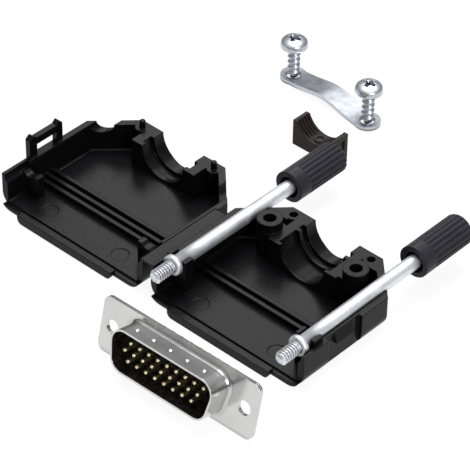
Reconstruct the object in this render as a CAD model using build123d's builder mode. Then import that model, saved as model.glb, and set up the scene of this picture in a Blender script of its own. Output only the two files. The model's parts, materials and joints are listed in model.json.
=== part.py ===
from build123d import *
from math import cos, radians, sin, sqrt, tan
import os

os.makedirs("parts", exist_ok=True)

# Contact layout, which sets the connector and everything that fits it
contact_pitch = 2.29
row_pitch = 1.98
row_counts = (9, 9, 8)
row_shifts = (0.0, -0.5, 0.0)
row_margin_x = 3.09
row_margin_y = 2.2
row_span = max(row_counts) - 1 - min(row_shifts)

# Connector shells
mouth_width = row_span * contact_pitch + 2 * row_margin_x
mouth_height = (len(row_counts) - 1) * row_pitch + 2 * row_margin_y
mouth_round = 2.6
side_slope = 10.0
skirt_length = 5.1
skirt_root_round = 0.7
rear_width = mouth_width + 1.75
rear_height = mouth_height + 1.34
rear_depth = 1.5
screw_from_mouth = 3.8275
screw_spacing = mouth_width + 2 * screw_from_mouth
screw_x = screw_spacing / 2
flange_ear = 2.92
flange_shelf = 1.15
flange_width = screw_spacing + 2 * flange_ear
flange_height = rear_height + 2 * flange_shelf
flange_round = 1.6
flange_hole_radius = 1.525
sheet = 0.42
flange_thick = 2 * sheet
dimple_count = 5
dimple_pitch = 4.2
dimple_radius = 0.85
dimple_depth = 0.26
dimple_from_flange = 3.0
connector_place = (2.96, -32.67)
connector_turn = 1.07
connector_tilt = 13.36

# Insulators and contacts
insulator_play = 0.04
insulator_face = -0.3
front_insulator_back = -1.6
rear_insulator_inset = 0.2
pin_radius = 0.38
pin_tip_from_flange = 4.2
pin_root_depth = 0.6
pin_tip_round = 0.3
contact_body_radius = 0.52
contact_play = 0.03
cup_radius = 0.6
cup_bore_radius = 0.4
cup_length = 3.4
cup_bore_depth = 2.2

# Jackscrews
rod_radius = 1.5
thread_radius = 1.2
thread_tip_cut = 0.3
thread_from_hood = 0.2
tip_reach = {"left": 2.46, "right": 3.23}
collar_from_tip = 4.8
collar_radius = 2.2
collar_thick = 1.2
knob_from_tip = 39.0
knob_radius = 3.45
knob_length = 14.5
knob_round = 0.9
knob_band = 3.0
knob_mouth_radius = 2.35
knob_mouth_depth = 2.6
knob_grip_depth = 9.0
grip_play = 0.02
flute_count = 20
flute_radius = 0.42
flute_out = 0.14
slot_width = 0.85
slot_depth = 1.0

# Hood halves, as wide as the jackscrews need
side_margin = 3.25
hood_width = screw_spacing + 2 * side_margin
hood_length = 32.4
half_height = 7.7
wall = 1.55
floor_thick = 1.3
edge_round = 3.2
inner_round = 0.5
front_y = -hood_length / 2
back_y = hood_length / 2
inner_half_width = hood_width / 2 - wall

# Ribs across the floor
rib_back_from_front = 13.1
rib_width = 0.9
rib_pitch = 1.9
rib_height = 1.3
base_rib_count = 2
lid_rib_count = 3

# Groove for the connector flange and the lip that closes it
flange_play = 0.16
groove_width = flange_thick + flange_play
tongue_top = 0.9
lip_width = screw_spacing - 6.9
lip_depth = 1.5
lip_top = floor_thick + 0.6
lip_round = 1.2

# Moulding marks on the front floor
mark_radius = 1.85
mark_depth = 0.12
mark_x = screw_x - 6.65
mark_from_front = 3.6

# Cable exit and the cradle in front of it
cable_radius = 5.76
cradle_half_width = cable_radius + 3.04
cradle_length = 10.75
cradle_plate_thick = 0.85
cradle_gap = 5.8
lid_cradle_length = 6.35
lid_plate_thick = 1.2
exit_wall = 2.8
trough_floor = 1.1
trough_radius = half_height - trough_floor
cradle_front_y = back_y - cradle_length
second_plate_y = cradle_front_y + cradle_gap
lid_cradle_y = back_y - lid_cradle_length

# Bosses for the clamp screws
boss_from_screw = 5.45
clamp_spacing = screw_spacing - 2 * boss_from_screw
boss_y = back_y - 7.6
boss_radius = 2.6
boss_rise = 2.0
boss_hole_radius = 1.3
boss_hole_depth = 8.0
web_from_boss = 2.4

# Locating pegs of the lid, their holes in the base and the cut corners beside them
peg_x = cradle_half_width + 1.3
peg_y = back_y - 1.7
peg_radius = 0.65
peg_rise = 1.8
peg_play = 0.2
peg_post_radius = 1.6
corner_cut = hood_width / 2 - peg_x - peg_post_radius
corner_fill_depth = 3.8

# Saddles that carry the jackscrews
running_play = 0.08
rod_clear = 0.33
seat_radius = rod_radius + running_play
saddle_from_front = 3.8
saddle_length = 2.4
saddle_plate = 0.85
saddle_inner_x = screw_x - 2.35
inner_arm_rise = 1.0
outer_tab_rise = 1.3
outer_tab_thick = 0.85
outer_tab_root = 1.5
tab_notch_play = 0.15
collar_relief = 0.3
lid_block_inner_x = screw_x - 2.55
lid_block_from_front = 4.4
lid_block_length = 1.8
lid_block_below_rim = 1.1

# Film hinge and where the open lid lies
film_width = 2.1
film_thick = 0.25
film_length = 21.4
film_rebate = 0.7
film_step = 0.1
lid_x = -(hood_width + film_width)

# Latch: recess and catch on the base, loop on the lid
recess_depth = 0.9
recess_front_y = -9.1
recess_back_y = 0.5
catch_front_y = -6.7
catch_back_y = -1.6
catch_reach = 0.85
catch_below_rim = 2.4
latch_play = 0.2
loop_seat_play = 0.1
loop_thick = 1.3
loop_root_below_rim = 3.4
bar_height = 1.7
post_tip_rise = 0.8

# Strap, its screws and the cable insert
strap_end_radius = 2.85
strap_width = 5.2
strap_thick = 1.0
strap_arch = 1.5
strap_hole_radius = 1.65
strap_place = (-36.73, 56.23)
strap_turn = -3.84
clamp_thread_radius = 1.4
clamp_thread_length = 8.4
clamp_tip_length = 1.0
clamp_head_radius = 3.0
clamp_head_height = 2.3
recess_arm = 1.5
recess_arm_width = 0.65
cross_depth = 1.1
insert_width = 2 * cable_radius
insert_depth = 4.2
insert_height = 6.2
insert_floor = 2.9
insert_wing = 1.0
insert_groove_count = 4
insert_groove_width = 0.4
insert_groove_depth = 0.3
insert_smooth_width = 3.4
insert_ring_radius = 1.3
insert_ring_rise = 0.3
insert_side_recess = 0.4
insert_place = (-26.6, 41.4)

def hood_outline(inset, start_y, z):
    """Plan of a hood half with its two cut back corners, drawn inset inside the outer faces."""
    half_width = hood_width / 2 - inset
    end_y = back_y - inset
    cut = corner_cut - inset * (2 - sqrt(2))
    with BuildSketch(Plane.XY.offset(z)) as plan:
        with BuildLine():
            Polyline(
                (-half_width, start_y),
                (half_width, start_y),
                (half_width, end_y - cut),
                (half_width - cut, end_y),
                (-half_width + cut, end_y),
                (-half_width, end_y - cut),
                close=True,
            )
        make_face()
    return plan.sketch


def add_block(x_span, y_span, z_span, mode=Mode.ADD):
    """A straight block between two corners, added to or cut from the part being built."""
    with BuildSketch(Plane.XY.offset(z_span[0])) as plan:
        with Locations((sum(x_span) / 2, sum(y_span) / 2)):
            Rectangle(abs(x_span[1] - x_span[0]), y_span[1] - y_span[0])
    extrude(plan.sketch, amount=z_span[1] - z_span[0], mode=mode)


def add_post(x, y, radius, z_span, mode=Mode.ADD):
    """An upright round post, added to or cut from the part being built."""
    with BuildSketch(Plane.XY.offset(z_span[0])) as plan:
        with Locations((x, y)):
            Circle(radius)
    extrude(plan.sketch, amount=z_span[1] - z_span[0], mode=mode)


def cut_bore(x, radius, y_span):
    """A round cut along Y whose axis lies in the plane where the two halves meet."""
    with BuildSketch(Plane.XZ.offset(-y_span[1])) as section:
        with Locations((x, half_height)):
            Circle(radius)
    extrude(section.sketch, amount=y_span[1] - y_span[0], mode=Mode.SUBTRACT)


def add_hood_shell(hood):
    """Walls, floor, front tongue and lip, as both halves have them."""
    tongue_y = front_y - groove_width
    extrude(hood_outline(0, tongue_y, 0), amount=half_height)
    bottom_edges = hood.edges().group_by(Axis.Z)[0].sort_by(Axis.Y)[1:]
    fillet(bottom_edges, edge_round)
    add_block(
        (-hood_width, hood_width),
        (tongue_y - 1, front_y),
        (tongue_top, 2 * half_height),
        Mode.SUBTRACT,
    )
    extrude(hood_outline(wall, tongue_y - 1, floor_thick), amount=half_height, mode=Mode.SUBTRACT)
    inner_floor = hood.faces().filter_by(Plane.XY).filter_by(
        lambda face: abs(face.center().Z - floor_thick) < 0.01
    )
    fillet(inner_floor.sort_by(SortBy.AREA)[-1].edges().sort_by(Axis.Y)[1:], inner_round)
    with BuildSketch(Plane.XZ.offset(-tongue_y)) as lip:
        with Locations((0, lip_top / 2)):
            Rectangle(lip_width, lip_top)
        fillet(lip.vertices().group_by(Axis.Y)[0], lip_round)
    extrude(lip.sketch, amount=lip_depth)
    for side in (-1, 1):
        add_post(
            side * mark_x,
            front_y + mark_from_front,
            mark_radius,
            (floor_thick - mark_depth, half_height),
            Mode.SUBTRACT,
        )


def add_ribs(count):
    """Ribs across the floor, the last one at the same place in both halves."""
    for step in range(count):
        rib_back = front_y + rib_back_from_front - step * rib_pitch
        add_block(
            (-inner_half_width, inner_half_width),
            (rib_back - rib_width, rib_back),
            (floor_thick, floor_thick + rib_height),
        )


def add_cradle(y_from, plate_spans):
    """A block behind the back wall with the cable channel, and a wider trough outside each plate."""
    add_block(
        (-cradle_half_width, cradle_half_width),
        (y_from, back_y - wall / 2),
        (floor_thick, half_height),
    )
    cut_bore(0, cable_radius, (y_from, back_y + 1))
    trough_spans = zip(plate_spans, plate_spans[1:])
    for plate, next_plate in trough_spans:
        cut_bore(0, trough_radius, (plate[1], next_plate[0]))


def add_corner_fill(side):
    """The solid corner between a locating post, the back wall and the cut corner."""
    fill_back = back_y - wall / 2
    fill_front = back_y - corner_fill_depth
    cut_line = hood_width / 2 + back_y - corner_cut - wall / 2 * sqrt(2)
    with BuildSketch(Plane.XY.offset(floor_thick)) as fill:
        with BuildLine():
            Polyline(
                (side * peg_x, fill_front),
                (side * (cut_line - fill_front), fill_front),
                (side * (cut_line - fill_back), fill_back),
                (side * peg_x, fill_back),
                close=True,
            )
        make_face()
    extrude(fill.sketch, amount=half_height - floor_thick)


with BuildPart() as hood_base:
    add_hood_shell(hood_base)
    add_ribs(base_rib_count)
    exit_span = (back_y - exit_wall, back_y)

    # Cradle for the cable insert
    first_plate = (cradle_front_y, cradle_front_y + cradle_plate_thick)
    second_plate = (second_plate_y, second_plate_y + cradle_plate_thick)
    add_cradle(cradle_front_y, (first_plate, second_plate, exit_span))

    # Bosses for the clamp screws, webs to the cradle and solid corners for the locating holes
    for side in (-1, 1):
        boss_x = clamp_spacing / 2
        add_post(side * boss_x, boss_y, boss_radius, (floor_thick, half_height + boss_rise))
        add_block(
            (side * (cradle_half_width - wall), side * boss_x),
            (boss_y - web_from_boss, boss_y + web_from_boss),
            (floor_thick, half_height),
        )
        add_post(side * peg_x, peg_y, peg_post_radius, (floor_thick, half_height))
        add_corner_fill(side)

    # Saddles with a U-shaped seat for each jackscrew
    saddle_front = front_y + saddle_from_front
    saddle_back = saddle_front + saddle_length
    tab_x = screw_x + seat_radius
    for side in (-1, 1):
        for plate_y in (saddle_front, saddle_back - saddle_plate):
            plate_span = (plate_y, plate_y + saddle_plate)
            add_block(
                (side * saddle_inner_x, side * (inner_half_width + 0.1)),
                plate_span,
                (floor_thick, half_height),
            )
        add_block(
            (side * saddle_inner_x, side * (screw_x - seat_radius)),
            (saddle_front, saddle_back),
            (floor_thick, half_height + inner_arm_rise),
        )
        add_block(
            (side * tab_x, side * (tab_x + outer_tab_thick)),
            (saddle_front, saddle_back),
            (half_height - outer_tab_root, half_height + outer_tab_rise),
        )

    # Jackscrew seats, collar reliefs and the two kinds of holes
    for side in (-1, 1):
        cut_bore(side * screw_x, seat_radius, (saddle_front - 0.5, back_y + 1))
        cut_bore(side * screw_x, collar_radius + collar_relief, (front_y - 1, saddle_front))
        add_post(
            side * clamp_spacing / 2,
            boss_y,
            boss_hole_radius,
            (half_height + boss_rise - boss_hole_depth, 2 * half_height),
            Mode.SUBTRACT,
        )
        add_post(
            side * peg_x,
            peg_y,
            peg_radius + peg_play,
            (half_height - peg_rise - 0.5, half_height + 1),
            Mode.SUBTRACT,
        )

    # Latch recess in the side wall, with the wedge that the loop snaps over
    recess_x = hood_width / 2 - recess_depth
    add_block((recess_x, hood_width), (recess_front_y, recess_back_y), (-1, half_height + 1), Mode.SUBTRACT)
    with BuildSketch(Plane.XZ.offset(-catch_back_y)) as catch:
        with BuildLine():
            Polyline(
                (recess_x, half_height),
                (recess_x + catch_reach, half_height - catch_below_rim),
                (recess_x, half_height - catch_below_rim),
                close=True,
            )
        make_face()
    extrude(catch.sketch, amount=catch_back_y - catch_front_y)
hood_base.part.label = "hood_base"
export_step(hood_base.part, "parts/hood_base.step")

with BuildPart() as hood_lid:
    add_hood_shell(hood_lid)
    add_ribs(lid_rib_count)
    lid_plate = (lid_cradle_y, lid_cradle_y + lid_plate_thick)
    add_cradle(lid_cradle_y, (lid_plate, exit_span))

    # Corner blocks over the jackscrews, posts and pegs
    block_front = front_y + lid_block_from_front
    for side in (-1, 1):
        add_block(
            (side * lid_block_inner_x, side * (inner_half_width + 0.1)),
            (block_front, block_front + lid_block_length),
            (floor_thick, half_height - lid_block_below_rim),
        )
        add_post(side * peg_x, peg_y, peg_post_radius, (floor_thick, half_height))
        add_post(side * peg_x, peg_y, peg_radius, (half_height - 1, half_height + peg_rise))
        peg_top = hood_lid.edges().group_by(Axis.Z)[-1]
        fillet(peg_top, 0.6 * peg_radius)

    # Jackscrew clearances, notches for the tabs of the base and the rebate that takes the film
    notch_x = tab_x - tab_notch_play
    for side in (-1, 1):
        cut_bore(side * screw_x, rod_radius + rod_clear, (front_y - 1, back_y + 1))
        cut_bore(side * screw_x, collar_radius + collar_relief, (front_y - 1, block_front))
        add_block(
            (side * notch_x, side * (notch_x + outer_tab_thick + 2 * tab_notch_play)),
            (saddle_front - tab_notch_play, saddle_back + tab_notch_play),
            (half_height - outer_tab_rise - tab_notch_play, half_height + 1),
            Mode.SUBTRACT,
        )

    add_block(
        (hood_width / 2 - film_rebate, hood_width),
        (front_y, front_y + film_length),
        (half_height - film_step - film_thick, half_height + 1),
        Mode.SUBTRACT,
    )

    # Latch loop: two pointed posts and a bar, standing on the outer wall
    loop_x = -(hood_width / 2 - recess_depth + loop_seat_play)
    loop_front = recess_front_y + latch_play
    loop_back = recess_back_y - latch_play
    window_front = catch_front_y - latch_play
    window_back = catch_back_y + latch_play
    window_top = half_height + catch_below_rim + latch_play
    bar_top = window_top + bar_height
    loop_root = half_height - loop_root_below_rim
    with BuildSketch(Plane.YZ.offset(loop_x - loop_thick)) as loop:
        with BuildLine():
            Polyline(
                (loop_front, loop_root),
                (loop_back, loop_root),
                (loop_back, bar_top),
                ((loop_back + window_back) / 2, bar_top + post_tip_rise),
                (window_back, bar_top),
                (window_front, bar_top),
                ((loop_front + window_front) / 2, bar_top + post_tip_rise),
                (loop_front, bar_top),
                close=True,
            )
        make_face()
        with Locations(((window_front + window_back) / 2, (half_height + window_top) / 2)):
            Rectangle(window_back - window_front, window_top - half_height, mode=Mode.SUBTRACT)
    extrude(loop.sketch, amount=loop_thick)
hood_lid.part.move(Location((lid_x, 0, 0)))
hood_lid.part.label = "hood_lid"
export_step(hood_lid.part, "parts/hood_lid.step")

with BuildPart() as film_hinge:
    film_top = half_height - film_step
    add_block(
        (lid_x + hood_width / 2 - film_rebate, -hood_width / 2),
        (front_y, front_y + film_length),
        (film_top - film_thick, film_top),
    )
film_hinge.part.label = "film_hinge"
export_step(film_hinge.part, "parts/film_hinge.step")

for name, side in (("left", -1), ("right", 1)):
    tip_y = front_y - tip_reach[name]
    grip_end = knob_from_tip + knob_mouth_depth + knob_grip_depth
    rod_plane = Plane(origin=(side * screw_x, tip_y, half_height), x_dir=(1, 0, 0), z_dir=(0, 1, 0))

    with BuildPart(rod_plane) as rod:
        with BuildSketch(rod_plane):
            Circle(thread_radius)
        extrude(amount=tip_reach[name] - thread_from_hood)
        with BuildSketch(rod_plane.offset(tip_reach[name] - thread_from_hood)):
            Circle(rod_radius)
        extrude(amount=grip_end - tip_reach[name] + thread_from_hood)
        with BuildSketch(rod_plane.offset(collar_from_tip)):
            Circle(collar_radius)
        extrude(amount=collar_thick)
        chamfer(rod.edges().sort_by(Axis.Y)[0], thread_tip_cut)
    rod.part.label = f"jackscrew_{name}_rod"
    export_step(rod.part, f"parts/jackscrew_{name}_rod.step")

    # Thumb knob: open mouth, smooth band, flutes to the far end and a driver slot
    knob_plane = rod_plane.offset(knob_from_tip)
    with BuildPart(knob_plane) as knob:
        with BuildSketch(knob_plane):
            Circle(knob_radius)
        extrude(amount=knob_length)
        fillet(knob.edges().sort_by(Axis.Y)[-1], knob_round)
        with BuildSketch(knob_plane):
            Circle(knob_mouth_radius)
        extrude(amount=knob_mouth_depth, mode=Mode.SUBTRACT)
        with BuildSketch(knob_plane):
            Circle(rod_radius + grip_play)
        extrude(amount=knob_mouth_depth + knob_grip_depth, mode=Mode.SUBTRACT)
        with BuildSketch(knob_plane.offset(knob_band)):
            with PolarLocations(knob_radius + flute_out, flute_count):
                Circle(flute_radius)
        extrude(amount=knob_length, mode=Mode.SUBTRACT)
        with BuildSketch(knob_plane.offset(knob_length - slot_depth)):
            Rectangle(3 * knob_radius, slot_width)
        extrude(amount=2 * slot_depth, mode=Mode.SUBTRACT)
    knob.part.label = f"jackscrew_{name}_knob"
    export_step(knob.part, f"parts/jackscrew_{name}_knob.step")

# Strap: a flat bar with round drilled ends and a raised middle
strap_plane = Plane(origin=(*strap_place, 0)).rotated((0, 0, strap_turn))
with BuildPart(strap_plane) as strap:
    half_span = clamp_spacing / 2
    with BuildSketch(strap_plane):
        with Locations((-half_span, 0), (half_span, 0)):
            Circle(strap_end_radius)
    extrude(amount=strap_thick)
    side_plane = Plane(origin=strap_plane.origin, x_dir=strap_plane.x_dir, z_dir=-strap_plane.y_dir)
    with BuildSketch(side_plane) as band:
        with BuildLine():
            lower = Spline(
                (-half_span, 0),
                (0, strap_arch),
                (half_span, 0),
                tangents=((1, 0), (1, 0)),
            )
            upper = Spline(
                (-half_span, strap_thick),
                (0, strap_arch + strap_thick),
                (half_span, strap_thick),
                tangents=((1, 0), (1, 0)),
            )
            Line(lower @ 0, upper @ 0)
            Line(lower @ 1, upper @ 1)
        make_face()
    extrude(amount=strap_width / 2, both=True)
    with BuildSketch(strap_plane.offset(-1)):
        with Locations((-half_span, 0), (half_span, 0)):
            Circle(strap_hole_radius)
    extrude(amount=2 * strap_thick + 2, mode=Mode.SUBTRACT)
strap.part.label = "cable_clamp_strap"
export_step(strap.part, "parts/cable_clamp_strap.step")

for name, side in (("left", -1), ("right", 1)):
    screw_foot = strap_plane.shift_origin(
        strap_plane.from_local_coords((side * clamp_spacing / 2, 0, 0))
    )
    head_base = clamp_thread_length
    with BuildPart(screw_foot) as clamp_screw:
        with BuildSketch(screw_foot):
            Circle(clamp_thread_radius)
        extrude(amount=head_base)
        chamfer(clamp_screw.edges().sort_by(Axis.Z)[0], 0.4 * clamp_thread_radius, clamp_tip_length)
        with BuildSketch(screw_foot.offset(head_base)):
            Circle(clamp_head_radius)
        extrude(amount=clamp_head_height)
        fillet(clamp_screw.edges().sort_by(Axis.Z)[-1], 0.6 * clamp_head_height)
        with BuildSketch(screw_foot.offset(head_base + clamp_head_height - cross_depth)):
            Rectangle(2 * recess_arm, recess_arm_width)
            Rectangle(recess_arm_width, 2 * recess_arm)
        extrude(amount=2 * cross_depth, mode=Mode.SUBTRACT)
    clamp_screw.part.label = f"clamp_screw_{name}"
    export_step(clamp_screw.part, f"parts/clamp_screw_{name}.step")

# Cable insert: a saddle with a round trough and fine ribs on one flank
insert_plane = Plane(origin=(insert_place[0], insert_place[1], 0), x_dir=(1, 0, 0), z_dir=(0, -1, 0))
with BuildPart(insert_plane) as insert:
    half_insert = insert_width / 2
    chord = half_insert - insert_wing
    rise = insert_height - insert_floor
    trough_radius = (chord**2 + rise**2) / (2 * rise)
    with BuildSketch(insert_plane.offset(-insert_depth / 2)):
        with Locations((0, insert_height / 2)):
            Rectangle(insert_width, insert_height)
        with Locations((0, insert_floor + trough_radius)):
            Circle(trough_radius, mode=Mode.SUBTRACT)
    extrude(amount=insert_depth)

    # Grip grooves follow the trough on both flanks and leave its middle smooth
    groove_pitch = insert_depth / (insert_groove_count + 1)
    groove_planes = [
        insert_plane.offset(step * groove_pitch - (insert_depth + insert_groove_width) / 2)
        for step in range(1, insert_groove_count + 1)
    ]
    with BuildSketch(*groove_planes):
        with Locations((0, insert_floor + trough_radius)):
            Circle(trough_radius + insert_groove_depth)
        Rectangle(insert_smooth_width, 4 * insert_height, mode=Mode.SUBTRACT)
        with Locations((0, insert_floor + 2 * insert_height + insert_groove_depth)):
            Rectangle(2 * insert_width, 2 * insert_height, mode=Mode.SUBTRACT)
    extrude(amount=insert_groove_width, mode=Mode.SUBTRACT)

    # Ring left by the mould in the middle of the trough, and the recessed outer sides
    floor_plane = Plane(origin=insert_plane.origin)
    with BuildSketch(floor_plane.offset(insert_floor / 2)):
        Circle(insert_ring_radius)
        Circle(0.6 * insert_ring_radius, mode=Mode.SUBTRACT)
    extrude(amount=insert_floor / 2 + insert_ring_rise)
    with BuildSketch(floor_plane.offset(-1)):
        with Locations((-half_insert, 0), (half_insert, 0)):
            Rectangle(2 * insert_side_recess, insert_depth - 2 * insert_wing)
    extrude(amount=insert_height - insert_wing + 1, mode=Mode.SUBTRACT)
insert.part.label = "cable_insert"
export_step(insert.part, "parts/cable_insert.step")

# The connector stands on the lower edge of its flange and leans back, as the kit was laid out
tilt = radians(connector_tilt)
turn = radians(connector_turn)
connector_rise = flange_height / 2 * cos(tilt) + flange_thick * sin(tilt)
connector_plane = Plane(
    origin=(*connector_place, connector_rise),
    x_dir=(cos(turn), sin(turn), 0),
    z_dir=(sin(turn) * cos(tilt), -cos(turn) * cos(tilt), sin(tilt)),
)


def d_outline(width, height, corner, z):
    """D-shaped outline, widest at its upper side, on a plane z in front of the flange."""
    taper = height * tan(radians(side_slope))
    with BuildSketch(connector_plane.offset(z)) as outline:
        with BuildLine():
            Polyline(
                (-width / 2 + taper, -height / 2),
                (width / 2 - taper, -height / 2),
                (width / 2, height / 2),
                (-width / 2, height / 2),
                close=True,
            )
        make_face()
        fillet(outline.vertices(), corner)
    return outline.sketch


def add_flange(z_back):
    """Flange sheet with round corners and its two jackscrew holes."""
    with BuildSketch(connector_plane.offset(z_back)) as flange:
        RectangleRounded(flange_width, flange_height, flange_round)
        with Locations((-screw_x, 0), (screw_x, 0)):
            Circle(flange_hole_radius, mode=Mode.SUBTRACT)
    extrude(flange.sketch, amount=sheet)


with BuildPart() as front_shell:
    add_flange(-sheet)
    extrude(
        d_outline(mouth_width + 2 * sheet, mouth_height + 2 * sheet, mouth_round + sheet, 0),
        amount=skirt_length,
    )
    extrude(
        d_outline(mouth_width, mouth_height, mouth_round, -2 * sheet),
        amount=skirt_length + 4 * sheet,
        mode=Mode.SUBTRACT,
    )

    root_edges = front_shell.edges().filter_by(
        lambda edge: abs(connector_plane.to_local_coords(edge.center()).Z) < 0.01
    )
    skirt_root = root_edges.filter_by(
        lambda edge: flange_hole_radius
        < abs(abs(connector_plane.to_local_coords(edge.center()).X) - screw_x)
        and abs(connector_plane.to_local_coords(edge.center()).Y) < mouth_height / 2 + 2 * sheet
        and abs(connector_plane.to_local_coords(edge.center()).X) < mouth_width / 2 + 2 * sheet
    )
    fillet(skirt_root, skirt_root_round)

    # Dents along the upper side of the skirt
    dent_height = mouth_height / 2 + sheet + dimple_radius - dimple_depth
    for step in range(dimple_count):
        dent_x = (step - (dimple_count - 1) / 2) * dimple_pitch
        with Locations(connector_plane.offset(dimple_from_flange)):
            with Locations((dent_x, dent_height)):
                Sphere(dimple_radius, mode=Mode.SUBTRACT)
front_shell.part.label = "connector_front_shell"
export_step(front_shell.part, "parts/connector_front_shell.step")

with BuildPart() as rear_shell:
    add_flange(-flange_thick)
    extrude(
        d_outline(rear_width, rear_height, mouth_round + sheet, -flange_thick - rear_depth),
        amount=rear_depth,
    )
    extrude(
        d_outline(
            rear_width - 2 * sheet,
            rear_height - 2 * sheet,
            mouth_round,
            -flange_thick - rear_depth - 1,
        ),
        amount=rear_depth + flange_thick + 2,
        mode=Mode.SUBTRACT,
    )
rear_shell.part.label = "connector_rear_shell"
export_step(rear_shell.part, "parts/connector_rear_shell.step")

contact_places = [
    ((column - min(row_shifts) - row_span / 2 + shift) * contact_pitch, (1 - row) * row_pitch)
    for row, (count, shift) in enumerate(zip(row_counts, row_shifts))
    for column in range(count)
]


def cut_contact_holes(z_back, length):
    """One round hole per contact, through an insulator."""
    with BuildSketch(connector_plane.offset(z_back)) as holes:
        with Locations(*contact_places):
            Circle(contact_body_radius + contact_play)
    extrude(holes.sketch, amount=length, mode=Mode.SUBTRACT)


rear_inner_width = rear_width - 2 * sheet - 2 * insulator_play
rear_inner_height = rear_height - 2 * sheet - 2 * insulator_play
with BuildPart() as front_insulator:
    extrude(
        d_outline(mouth_width - 2 * insulator_play, mouth_height - 2 * insulator_play, mouth_round, -sheet),
        amount=sheet + insulator_face,
    )
    extrude(
        d_outline(rear_inner_width, rear_inner_height, mouth_round, front_insulator_back),
        amount=-sheet - front_insulator_back,
    )
    cut_contact_holes(front_insulator_back, insulator_face - front_insulator_back)
front_insulator.part.label = "front_insulator"
export_step(front_insulator.part, "parts/front_insulator.step")

with BuildPart() as rear_insulator:
    rear_insulator_back = rear_insulator_inset - flange_thick - rear_depth
    extrude(
        d_outline(rear_inner_width, rear_inner_height, mouth_round, rear_insulator_back),
        amount=front_insulator_back - rear_insulator_back,
    )
    cut_contact_holes(rear_insulator_back, front_insulator_back - rear_insulator_back)
rear_insulator.part.label = "rear_insulator"
export_step(rear_insulator.part, "parts/rear_insulator.step")

for number, (u, v) in enumerate(contact_places, start=1):
    contact_plane = connector_plane.shift_origin(connector_plane.from_local_coords((u, v, 0)))
    with BuildPart(contact_plane) as contact:
        pin_root = insulator_face - pin_root_depth
        with BuildSketch(contact_plane.offset(pin_root)):
            Circle(pin_radius)
        extrude(amount=pin_tip_from_flange - pin_root)
        pin_axis = Axis(contact_plane.origin, contact_plane.z_dir)
        fillet(contact.edges().sort_by(pin_axis)[-1], pin_tip_round)
        with BuildSketch(contact_plane.offset(rear_insulator_back)):
            Circle(contact_body_radius)
        extrude(amount=pin_root - rear_insulator_back)
        with BuildSketch(contact_plane.offset(rear_insulator_back - cup_length)):
            Circle(cup_radius)
        extrude(amount=cup_length)
        with BuildSketch(contact_plane.offset(rear_insulator_back - cup_length)):
            Circle(cup_bore_radius)
        extrude(amount=cup_bore_depth, mode=Mode.SUBTRACT)
    contact.part.label = f"contact_{number:02d}"
    export_step(contact.part, f"parts/contact_{number:02d}.step")
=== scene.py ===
# %% [markdown]
# # A d-sub connector kit, dressed for its portrait
# The CAD model already holds every piece at its real size, so this lesson adds what CAD
# leaves out: threads, plating, moulded plastic and light.

# %% Load the fixed frame
import json
from math import radians
import bpy
import numpy as np
from mathutils import Matrix, Vector


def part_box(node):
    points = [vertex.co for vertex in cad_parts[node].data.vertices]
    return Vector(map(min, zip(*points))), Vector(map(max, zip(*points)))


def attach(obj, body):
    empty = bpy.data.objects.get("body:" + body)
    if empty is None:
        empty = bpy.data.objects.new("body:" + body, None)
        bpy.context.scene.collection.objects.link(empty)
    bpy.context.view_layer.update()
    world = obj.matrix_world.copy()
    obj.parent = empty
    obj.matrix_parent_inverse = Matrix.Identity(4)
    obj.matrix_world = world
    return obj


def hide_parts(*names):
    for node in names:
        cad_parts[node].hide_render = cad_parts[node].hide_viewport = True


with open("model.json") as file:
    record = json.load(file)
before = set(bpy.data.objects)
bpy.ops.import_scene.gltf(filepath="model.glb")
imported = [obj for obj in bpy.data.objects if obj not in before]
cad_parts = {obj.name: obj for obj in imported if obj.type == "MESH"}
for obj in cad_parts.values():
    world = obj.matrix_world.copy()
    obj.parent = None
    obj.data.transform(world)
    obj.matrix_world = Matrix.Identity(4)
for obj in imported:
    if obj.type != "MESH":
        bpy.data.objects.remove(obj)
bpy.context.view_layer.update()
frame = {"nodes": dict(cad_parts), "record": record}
MM = 0.001

# %% [markdown]
# ## Camera
# A product photographer stands well back with a long lens, so that parallel edges stay almost
# parallel. The azimuth and elevation below were solved from the photograph, with the 33.3 mm
# between the jackscrews as the ruler. The camera could be aimed with a constraint, but a plain
# matrix says exactly where right, up and forward point.

# %% Camera
AZIMUTH = radians(42.21)
ELEVATION = radians(39.32)
ROLL = radians(0.836)
TARGET = Vector((-20.50, 8.69, 0.0)) * MM
DISTANCE = 537.8 * MM
FOCAL_PIXELS = 2673.4
IMAGE_PIXELS = 470
SENSOR = 36.0

forward = Vector((
    -np.sin(AZIMUTH) * np.cos(ELEVATION),
    np.cos(AZIMUTH) * np.cos(ELEVATION),
    -np.sin(ELEVATION),
))
level_right = Vector((np.cos(AZIMUTH), np.sin(AZIMUTH), 0.0))
level_up = level_right.cross(forward)
right = np.cos(ROLL) * level_right + np.sin(ROLL) * level_up
up = np.cos(ROLL) * level_up - np.sin(ROLL) * level_right

camera_data = bpy.data.cameras.new("camera")
camera_data.lens = FOCAL_PIXELS / IMAGE_PIXELS * SENSOR
camera_data.sensor_width = SENSOR
camera_data.clip_end = 20.0
camera = bpy.data.objects.new("camera", camera_data)
turn = Matrix((right, up, -forward)).transposed().to_4x4()
camera.matrix_world = Matrix.Translation(TARGET - DISTANCE * forward) @ turn
bpy.context.collection.objects.link(camera)
bpy.context.scene.camera = camera
print("camera at", tuple(round(v, 4) for v in camera.location))

# %% [markdown]
# ## Floor and light
# A white card does the same. Its own light reaches only the eye and mirror-like surfaces,
# which the Light Path node tells apart, so the card looks white and shows in the metal without
# flooding the black plastic with light. The small share of plain paper in it keeps a faint
# shadow under the parts. Every material here is a node tree, so the first function adds one
# node and wires its inputs.

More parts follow.
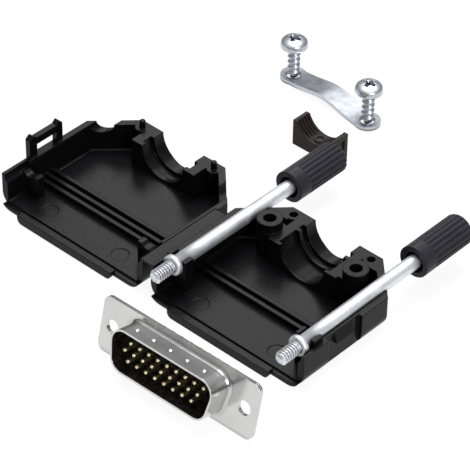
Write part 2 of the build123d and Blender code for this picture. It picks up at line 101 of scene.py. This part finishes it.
# %% Helpers for every material
def add_node(tree, kind, inputs=None, **settings):
    """Add a node, set its properties, then give each input a value or a link."""
    node = tree.nodes.new(kind)
    for key, value in settings.items():
        setattr(node, key, value)
    for key, value in (inputs or {}).items():
        if isinstance(value, bpy.types.NodeSocket):
            tree.links.new(value, node.inputs[key])
        else:
            node.inputs[key].default_value = value
    return node


def rescale(tree, value, old, new):
    """Map a value from the range old to the range new, clamped at both ends."""
    scaled = add_node(tree, "ShaderNodeMapRange", {
        "Value": value,
        "From Min": old[0],
        "From Max": old[1],
        "To Min": new[0],
        "To Max": new[1],
    })
    return scaled.outputs[0]


def linear(hex_colour):
    """sRGB hex to linear: a straight part near black and a 2.4 power above it."""
    srgb = np.array([int(hex_colour[i:i + 2], 16) for i in (1, 3, 5)]) / 255
    value = np.where(srgb <= 0.04045, srgb / 12.92, ((srgb + 0.055) / 1.055) ** 2.4)
    return (*value.tolist(), 1.0)


def new_material(name):
    """An empty node material with its output, ready for nodes."""
    material = bpy.data.materials.new(name)
    material.use_nodes = True
    tree = material.node_tree
    tree.nodes.clear()
    output = add_node(tree, "ShaderNodeOutputMaterial")
    return material, tree, output


# %% White card
CARD_GLOW = 0.9
card, tree, output = new_material("white_card")
paths = add_node(tree, "ShaderNodeLightPath")
mirrored = add_node(tree, "ShaderNodeMath", {
    0: paths.outputs["Is Glossy Ray"],
    1: paths.outputs["Is Transmission Ray"],
}, operation="MAXIMUM")
direct = add_node(tree, "ShaderNodeMath", {
    0: paths.outputs["Is Camera Ray"],
    1: mirrored.outputs[0],
}, operation="MAXIMUM")
seen = add_node(tree, "ShaderNodeMath", {0: direct.outputs[0], 1: CARD_GLOW}, operation="MULTIPLY")
paper = add_node(tree, "ShaderNodeBsdfDiffuse", {"Color": linear("#F4F4F4")})
glow = add_node(tree, "ShaderNodeEmission", {"Color": (1, 1, 1, 1), "Strength": 1.0})
mix = add_node(tree, "ShaderNodeMixShader", {
    0: seen.outputs[0],
    1: paper.outputs[0],
    2: glow.outputs[0],
})
tree.links.new(mix.outputs[0], output.inputs["Surface"])

FLOOR_HALF = 3.0
floor_mesh = bpy.data.meshes.new("floor")
corners = np.array([[-1, -1, 0], [1, -1, 0], [1, 1, 0], [-1, 1, 0]]) * FLOOR_HALF
floor_mesh.from_pydata(corners.tolist(), [], [(0, 1, 2, 3)])
floor_mesh.materials.append(card)
floor = bpy.data.objects.new("floor", floor_mesh)
bpy.context.collection.objects.link(floor)
print("floor is", 2 * FLOOR_HALF, "m wide")

# %% [markdown]
# ## Sky and soft boxes
# A studio is bright overhead and dim near the horizon. A sky colour that climbs with height
# gives rods and flanges their light top and darker flanks. A picture of a studio would do the
# same, but a few numbers are enough for a kit this small. Only the eye sees plain white behind
# the floor, so low views have no dark horizon.
#
# The sheen box stands opposite the camera at about the camera's own elevation, so flat floors
# mirror it and upright walls stay black. It would burn out the flat steel, so light linking
# keeps it to the plastic.

# %% Sky
SKY_FOOT = 0.1
SKY_LOW = 0.12
SKY_HIGH = 0.85
bpy.context.scene.view_settings.view_transform = "Standard"
world = bpy.data.worlds.new("studio")
world.use_nodes = True
bpy.context.scene.world = world
tree = world.node_tree
tree.nodes.clear()
place = add_node(tree, "ShaderNodeTexCoord")
height = add_node(tree, "ShaderNodeSeparateXYZ", {0: place.outputs["Generated"]})
strength = rescale(tree, height.outputs["Z"], (SKY_FOOT, 1.0), (SKY_LOW, SKY_HIGH))
sky_paths = add_node(tree, "ShaderNodeLightPath")
backdrop = add_node(tree, "ShaderNodeMath", {
    0: strength,
    1: sky_paths.outputs["Is Camera Ray"],
}, operation="MAXIMUM")
sky = add_node(tree, "ShaderNodeBackground", {
    "Color": (1, 1, 1, 1),
    "Strength": backdrop.outputs[0],
})
add_node(tree, "ShaderNodeOutputWorld", {"Surface": sky.outputs[0]})
print("sky from", SKY_LOW, "to", SKY_HIGH)

# %% Soft boxes
def soft_lamp(name, place, aim, size, watts):
    """A square soft box in millimetres that faces its aim point."""
    data = bpy.data.lights.new(name, "AREA")
    data.size = size * MM
    data.energy = watts
    lamp = bpy.data.objects.new(name, data)
    lamp.location = Vector(place) * MM
    direction = Vector(aim) * MM - lamp.location
    lamp.rotation_euler = direction.to_track_quat("-Z", "Y").to_euler()
    bpy.context.collection.objects.link(lamp)
    return lamp


soft_lamp("top_box", (-60, 120, 420), (-20, 0, 0), 240, 2.2)
soft_lamp("side_box", (380, -120, 240), (-10, 0, 0), 150, 1.1)
sheen_box = soft_lamp("sheen_box", (-254, 267, 283), (-20, 8, 0), 180, 0.42)
print("three soft boxes")

# %% Keep the sheen box off the metal
METAL_SLOTS = ("zinc_plated_steel", "tinned_shell", "gold_contact")
slot_of = {part["node"]: part["material_slot"] for part in frame["record"]["subparts"]}
black_pieces = bpy.data.collections.new("black_pieces")
for name, node in frame["nodes"].items():
    if slot_of[name] not in METAL_SLOTS:
        black_pieces.objects.link(node)
sheen_box.light_linking.receiver_collection = black_pieces

# %% [markdown]
# ## Finishes
# Four are moulded: spark-textured ABS for the backshell, smoother ABS for the knobs, a warmer
# black for the cable insert and glass-filled PBT for the insulators. Four are plated: bright
# zinc on the strap and its screws, a whiter barrel zinc on the long rods, tin on the drawn
# shells and a gold flash on the contacts.
#
# Plastic and metal are built from the same three helpers. In a plastic, a wide noise clouds
# the colour and a fine grain sets gloss and relief. In a metal, one ripple drives all three.
# The plastic is set to reflect less than its IOR says, which keeps its walls as black as in
# the photograph. Ambient occlusion paints shade into the plating colour in thread grooves and
# cross recesses.

# %% Helpers for the finishes
NOISE_RANGE = (0.3, 0.7)
EDGE_SAMPLES = 6


def object_noise(tree, size_mm, detail, roughness=0.5):
    """Noise that is fixed to the piece, with features about size_mm wide."""
    place = add_node(tree, "ShaderNodeTexCoord")
    noise = add_node(tree, "ShaderNodeTexNoise", {
        "Vector": place.outputs["Object"],
        "Scale": 1 / (size_mm * MM),
        "Detail": detail,
        "Roughness": roughness,
    })
    return noise.outputs["Fac"]


def blend(tree, share, first, second):
    """Colour between first and second: (1 - share) * first + share * second."""
    mix = add_node(tree, "ShaderNodeMix", {0: share, 6: first, 7: second}, data_type="RGBA")
    return mix.outputs[2]


def relief(tree, height, edge_mm, strength, depth_mm):
    """Normal of a bumpy face whose edges are rounded to the radius edge_mm."""
    radius = {"Radius": edge_mm * MM}
    soft_edge = add_node(tree, "ShaderNodeBevel", radius, samples=EDGE_SAMPLES)
    bump = add_node(tree, "ShaderNodeBump", {
        "Strength": strength,
        "Distance": depth_mm * MM,
        "Height": height,
        "Normal": soft_edge.outputs[0],
    })
    return bump.outputs[0]


print("noise is used from", NOISE_RANGE[0], "to", NOISE_RANGE[1])

# %% Moulded plastics
PLASTIC_EDGE = 0.25
PLASTIC_IOR = 1.53
PLASTIC_BUMP = 0.5
SKIN_REFLECTION = 0.10
CLOUD_SIZE = 9
GRAIN_SHINIER, GRAIN_DULLER = 0.05, 0.07


def moulded_plastic(name, dark, pale, grain_mm, roughness, bump_mm):
    """Moulded plastic: cloudy colour, tool grain in gloss and relief, and rounded edges."""
    material, tree, output = new_material(name)
    grain = object_noise(tree, grain_mm, detail=2.0, roughness=0.6)
    cloud = object_noise(tree, CLOUD_SIZE, detail=3.0)
    gloss_range = (roughness - GRAIN_SHINIER, roughness + GRAIN_DULLER)
    surface = add_node(tree, "ShaderNodeBsdfPrincipled", {
        "Base Color": blend(tree, cloud, linear(dark), linear(pale)),
        "Roughness": rescale(tree, grain, NOISE_RANGE, gloss_range),
        "IOR": PLASTIC_IOR,
        "Specular IOR Level": SKIN_REFLECTION,
        "Normal": relief(tree, grain, PLASTIC_EDGE, PLASTIC_BUMP, bump_mm),
    })
    tree.links.new(surface.outputs[0], output.inputs["Surface"])
    return material


backshell_abs = moulded_plastic("spark_textured_abs", "#060607", "#0D0D0F", 0.35, 0.31, 0.02)
knob_abs = moulded_plastic("smooth_moulded_abs", "#1C1C21", "#28282E", 0.5, 0.34, 0.015)
insert_abs = moulded_plastic("warm_moulded_abs", "#171311", "#241E1B", 0.35, 0.36, 0.02)
insulator_pbt = moulded_plastic("glass_filled_pbt", "#100C0A", "#191410", 0.4, 0.45, 0.006)
print("four moulded finishes")

# %% Plated metals
METAL_EDGE = 0.1
METAL_BUMP = 0.4
RIPPLE_SHINIER, RIPPLE_DULLER = 0.05, 0.08
SHADE_REACH = 1.1
SHADE_RANGE = (0.35, 0.95)
SHADE_SAMPLES = 8
# Painted shade: where ambient occlusion finds thread grooves and cross recesses, the plating colour
# is mixed toward this dark grey.
RECESS_SHADE_COLOUR = "#3A3C40"


def plated_metal(name, colour_low, colour_high, roughness, ripple_mm, bump_mm, metallic=1.0):
    """Plated metal: a tinted mirror, broken by ripples of the steel, with shade painted into its
    recesses.
    """
    material, tree, output = new_material(name)
    ripple = object_noise(tree, ripple_mm, detail=4.0, roughness=0.55)
    # Painted shade rather than a change in the plating: occlusion darkens the colour in grooves and
    # recesses.
    reach = {"Distance": SHADE_REACH * MM}
    shade_occlusion = add_node(tree, "ShaderNodeAmbientOcclusion", reach, samples=SHADE_SAMPLES)
    unshaded_share = rescale(tree, shade_occlusion.outputs["AO"], SHADE_RANGE, (0.0, 1.0))
    plating = blend(tree, ripple, linear(colour_low), linear(colour_high))
    gloss_range = (roughness - RIPPLE_SHINIER, roughness + RIPPLE_DULLER)
    surface = add_node(tree, "ShaderNodeBsdfPrincipled", {
        "Base Color": blend(tree, unshaded_share, linear(RECESS_SHADE_COLOUR), plating),
        "Metallic": metallic,
        "Roughness": rescale(tree, ripple, NOISE_RANGE, gloss_range),
        "Normal": relief(tree, ripple, METAL_EDGE, METAL_BUMP, bump_mm),
    })
    tree.links.new(surface.outputs[0], output.inputs["Surface"])
    return material


bright_zinc = plated_metal("bright_zinc_plate", "#B2B7BF", "#CCD0D7", 0.33, 2.2, 0.003)
rod_zinc = plated_metal("barrel_plated_zinc", "#D2D6DD", "#E8EBEF", 0.42, 3.0, 0.002, metallic=0.84)
tin_plate = plated_metal("tin_plated_steel", "#BDBDBD", "#DEDEDD", 0.18, 8.0, 0.030)
gold_flash = plated_metal("gold_flash", "#E0D2A6", "#F2E8CC", 0.28, 1.2, 0.003)
print("finishes:", [m.name for m in bpy.data.materials])

# %% Give each CAD node its finish
FINISH = {
    "hood_plastic": backshell_abs,
    "knob_plastic": knob_abs,
    "zinc_plated_steel": bright_zinc,
    "tinned_shell": tin_plate,
    "insulator_plastic": insulator_pbt,
    "gold_contact": gold_flash,
}
OWN_FINISH = {"cable_insert": insert_abs}
for name, node in frame["nodes"].items():
    for slot in node.material_slots:
        slot.material = OWN_FINISH.get(name, FINISH[slot_of[name]])
print("dressed", len(slot_of), "nodes")

# %% [markdown]
# ## Turned and threaded pieces
# A jackscrew is rolled: the thread is pressed into the end of a plain rod, and the collar stays
# as a flange behind it. A Screw modifier could sweep a V along a helix, but joining that to a
# smooth rod leaves seams. Here every point is worked out instead. A grid of stations along the
# axis and angles round it gives one closed skin, and the thread is a ripple of that skin's
# radius which climbs one pitch per turn.

# %% A skin from rings
ROUND_STEPS = 72
TURN = 2 * np.pi
FLANK_RISE = 1.35
ROOT_FLAT = 0.15


def ring_faces(rings, steps):
    """Quads between neighbouring rings of points, and a fan to the pole at each end."""
    ring = np.arange(steps)
    after = (ring + 1) % steps
    rows = np.arange(rings - 1)[:, None] * steps
    above = rows + steps
    quads = np.stack([rows + ring, rows + after, above + after, above + ring], axis=-1)
    first_pole, last_pole = rings * steps, rings * steps + 1
    last = (rings - 1) * steps
    start = np.stack([np.full(steps, first_pole), after, ring], axis=-1)
    end = np.stack([np.full(steps, last_pole), last + ring, last + after], axis=-1)
    return quads.reshape(-1, 4).tolist() + start.tolist() + end.tolist()


def skin(name, rings, poles, material):
    """A closed mesh from rings of points (rings x steps x 3, in metres) and its two poles."""
    count, steps = rings.shape[:2]
    points = np.concatenate([rings.reshape(-1, 3), poles])
    mesh = bpy.data.meshes.new(name)
    mesh.from_pydata(points.tolist(), [], ring_faces(count, steps))
    mesh.materials.append(material)
    mesh.polygons.foreach_set("use_smooth", np.ones(len(mesh.polygons), dtype=bool))
    mesh.update()
    piece = bpy.data.objects.new(name, mesh)
    bpy.context.collection.objects.link(piece)
    return piece


def thread_wave(turns):
    """Thread profile, 0 at the root and 1 at the crest: a triangle wave cut flat at both."""
    triangle = 1 - np.abs(2 * (turns % 1) - 1)
    return np.clip(FLANK_RISE * triangle - ROOT_FLAT, 0, 1)


def centre_and_reach(node):
    """Middle and lowest and highest corners of a CAD node, in millimetres."""
    low, high = (np.array(corner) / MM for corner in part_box(node))
    return (low + high) / 2, low, high


print("a ring has", ROUND_STEPS, "points")

# %% [markdown]
# ## Jackscrew rods
# Each rod has a 2.84 mm thread with 40 turns to the inch, so one turn is 0.635 mm. The profile
# below is a short list of stations and radii, as a turner would write it on a drawing. From
# the tip to the collar the ripple is taken off it, and fades out in front of the collar.

# %% Jackscrew rods with their threads
THREAD_PITCH = 0.635
THREAD_CREST = 1.42
THREAD_ROOT = 1.08
THREAD_END = 4.65
THREAD_STEPS = 12
RUNOUT = 0.5
ROD_RADIUS = 1.5
COLLAR_RADIUS = 2.2
COLLAR_START = 4.8
COLLAR_END = 6.0
COLLAR_CORNER = 0.2
TAIL_CUT = 0.3
SHAFT_STATIONS = 8


def jackscrew_rod(side):
    """Rod on +Y: radius = profile(s) - depth * fade(s) * (1 - wave(s / pitch - angle / turn))."""
    node = f"jackscrew_{side}_rod"
    middle, low, high = centre_and_reach(node)
    length = high[1] - low[1]
    profile = np.array([
        (0.0, 1.02), (0.12, 1.12), (0.38, THREAD_CREST), (THREAD_END, THREAD_CREST),
        (COLLAR_START - 0.02, 1.3), (COLLAR_START, 1.55), (COLLAR_START + 0.02, 2.0),
        (COLLAR_START + COLLAR_CORNER, COLLAR_RADIUS), (COLLAR_END - COLLAR_CORNER, COLLAR_RADIUS),
        (COLLAR_END - 0.02, 2.0), (COLLAR_END, ROD_RADIUS),
        (length - TAIL_CUT, ROD_RADIUS), (length, 1.2),
    ])
    threaded = np.arange(0.0, COLLAR_START - 0.05, THREAD_PITCH / THREAD_STEPS)
    shaft = np.linspace(COLLAR_END, length - TAIL_CUT, SHAFT_STATIONS)
    stations = np.unique(np.concatenate([threaded, profile[:, 0], shaft]))
    angles = np.linspace(0, TURN, ROUND_STEPS, endpoint=False)
    s, angle = np.meshgrid(stations, angles, indexing="ij")
    fade = np.clip((THREAD_END - s) / RUNOUT, 0, 1) * np.clip((s + 0.1) / RUNOUT, 0, 1)
    groove = (1 - thread_wave(s / THREAD_PITCH - angle / TURN)) * fade
    radius = np.interp(s, profile[:, 0], profile[:, 1])
    radius = radius - (THREAD_CREST - THREAD_ROOT) * groove
    x = middle[0] + radius * np.cos(angle)
    z = middle[2] - radius * np.sin(angle)
    rings = np.stack([x, low[1] + s, z], axis=-1) * MM
    tip = (middle[0], low[1], middle[2])
    tail = (middle[0], high[1], middle[2])
    rod = skin(f"threaded_rod_{side}", rings, np.array([tip, tail]) * MM, rod_zinc)
    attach(rod, f"jackscrew_{side}")
    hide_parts(node)
    return rod


rods = [jackscrew_rod(side) for side in ("left", "right")]
print("rods:", [len(rod.data.polygons) for rod in rods], "faces")

# %% [markdown]
# ## Clamp screws
# The two clamp screws cut their own thread in the plastic bosses, so theirs is coarse and sharp.
# The head is pressed with a cross recess. A Boolean could cut that cross, but a height over the
# round head does it in the same skin: the dome falls away with distance from the axis, and two
# crossed slots with sloping walls, with a cone where they meet, are taken off it.

# %% Clamp screws with cross-recess heads
SCREW_PITCH = 1.4
SCREW_CREST = 1.4
SCREW_ROOT = 0.98
SCREW_TIP = 1.2
TIP_SHARE = 0.35
SCREW_STEPS = 14
NECK_GAP = 0.25
NECK_RUNOUT = 0.6
NECK_SHARE = 0.35
HEAD_RADIUS = 3.0
HEAD_HEIGHT = 2.3
HEAD_SIDE = 0.75
DOME_POWER = 0.45
HEAD_RINGS = 60
RECESS_ARM = 1.45
RECESS_ARM_SLOPE = 0.75
RECESS_HALF_WIDTH = 0.48
RECESS_SIDE_SLOPE = 0.2
RECESS_CONE = 0.85
CONE_TOP = 1.1
RECESS_DEPTH = 1.15


def cross_recess(x, y):
    """Depth: the largest of two crossed slots and a cone, each slot as deep as its lower wall."""
    def slot(along, across):
        end_wall = np.clip((RECESS_ARM - np.abs(along)) / RECESS_ARM_SLOPE, 0, 1)
        side_wall = np.clip((RECESS_HALF_WIDTH - np.abs(across)) / RECESS_SIDE_SLOPE, 0, 1)
        return np.minimum(end_wall, side_wall)
    cone = np.clip(CONE_TOP - np.hypot(x, y) / RECESS_CONE, 0, 1)
    return RECESS_DEPTH * np.maximum(np.maximum(slot(x, y), slot(y, x)), cone)


def clamp_screw(side, turned):
    """Screw on +Z: a rippled shank, then a dome: side + (top - side) * (1 - (r / R)^2)^power."""
    node = f"clamp_screw_{side}"
    middle, low, high = centre_and_reach(node)
    head_base = high[2] - low[2] - HEAD_HEIGHT
    angles = np.linspace(0, TURN, 2 * ROUND_STEPS, endpoint=False)
    stations = np.arange(0, head_base, SCREW_PITCH / SCREW_STEPS)
    s, angle = np.meshgrid(stations, angles, indexing="ij")
    taper = np.clip(TIP_SHARE + (1 - TIP_SHARE) * s / SCREW_TIP, 0, 1)
    fade = np.clip((head_base - NECK_GAP - s) / NECK_RUNOUT, 0, 1)
    wave = thread_wave(s / SCREW_PITCH - angle / TURN)
    rise = wave * fade + NECK_SHARE * (1 - fade)
    shank = taper * (SCREW_ROOT + (SCREW_CREST - SCREW_ROOT) * rise)
    side_heights = np.array([0, 0.05, HEAD_SIDE * 0.5, HEAD_SIDE])
    side_radii = HEAD_RADIUS - np.array([0.15, 0.03, 0, 0.04])
    top_radii = np.linspace(HEAD_RADIUS - 0.1, 0.02, HEAD_RINGS)
    share = 1 - (top_radii / HEAD_RADIUS) ** 2
    top_heights = HEAD_SIDE + (HEAD_HEIGHT - HEAD_SIDE) * share ** DOME_POWER
    head_radii = np.concatenate([side_radii, top_radii])[:, None]
    head_heights = head_base + np.concatenate([side_heights, top_heights])[:, None]
    head_shape = (len(head_radii), len(angles))
    radius = np.concatenate([shank, np.broadcast_to(head_radii, head_shape)])
    height = np.concatenate([s, np.broadcast_to(head_heights, head_shape)])
    angle = np.broadcast_to(angles, radius.shape)
    x, y = radius * np.cos(angle), radius * np.sin(angle)
    on_top = np.arange(len(radius))[:, None] >= len(stations) + len(side_heights)
    along = x * np.cos(turned) + y * np.sin(turned)
    across = -x * np.sin(turned) + y * np.cos(turned)
    height = height - on_top * cross_recess(along, across)
    rings = np.stack([middle[0] + x, middle[1] + y, low[2] + height], axis=-1) * MM
    foot = (middle[0], middle[1], low[2])
    crown = (middle[0], middle[1], high[2] - RECESS_DEPTH)
    screw = skin(f"threaded_clamp_screw_{side}", rings, np.array([foot, crown]) * MM, bright_zinc)
    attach(screw, "base")
    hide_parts(node)
    return screw


screws = [clamp_screw("left", radians(20)), clamp_screw("right", radians(8))]
print("screws:", [len(screw.data.polygons) for screw in screws], "faces")
